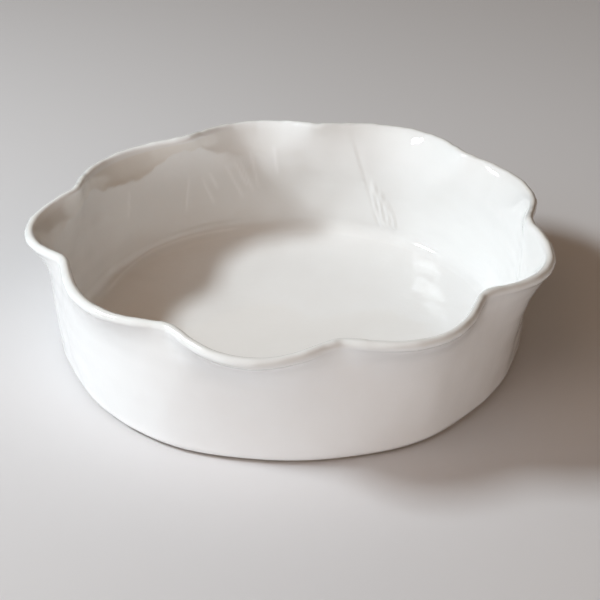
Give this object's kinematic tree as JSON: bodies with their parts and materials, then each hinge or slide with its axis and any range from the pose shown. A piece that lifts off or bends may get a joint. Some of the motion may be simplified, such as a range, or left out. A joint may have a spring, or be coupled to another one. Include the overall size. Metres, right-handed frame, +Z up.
{
  "type": "pie dish",
  "caption": "Deep round pie dish of glazed clay with a scalloped rim of flared lobes, a nearly upright wall, a flat floor and a flat bare foot.",
  "frame": {"origin": "centre of the flat foot that the dish stands on", "axes": "+Z up; the first notch of the rim points along +X, and the lobes follow anticlockwise seen from above"},
  "size_m": [0.2756, 0.2776, 0.0736],
  "materials": {
    "clay": "bare fired clay, matt and pale",
    "glaze": "milky white glossy glaze"
  },
  "bodies": {
    "root": {"clay_body": "clay", "glaze": "glaze"}
  },
  "joints": []
}
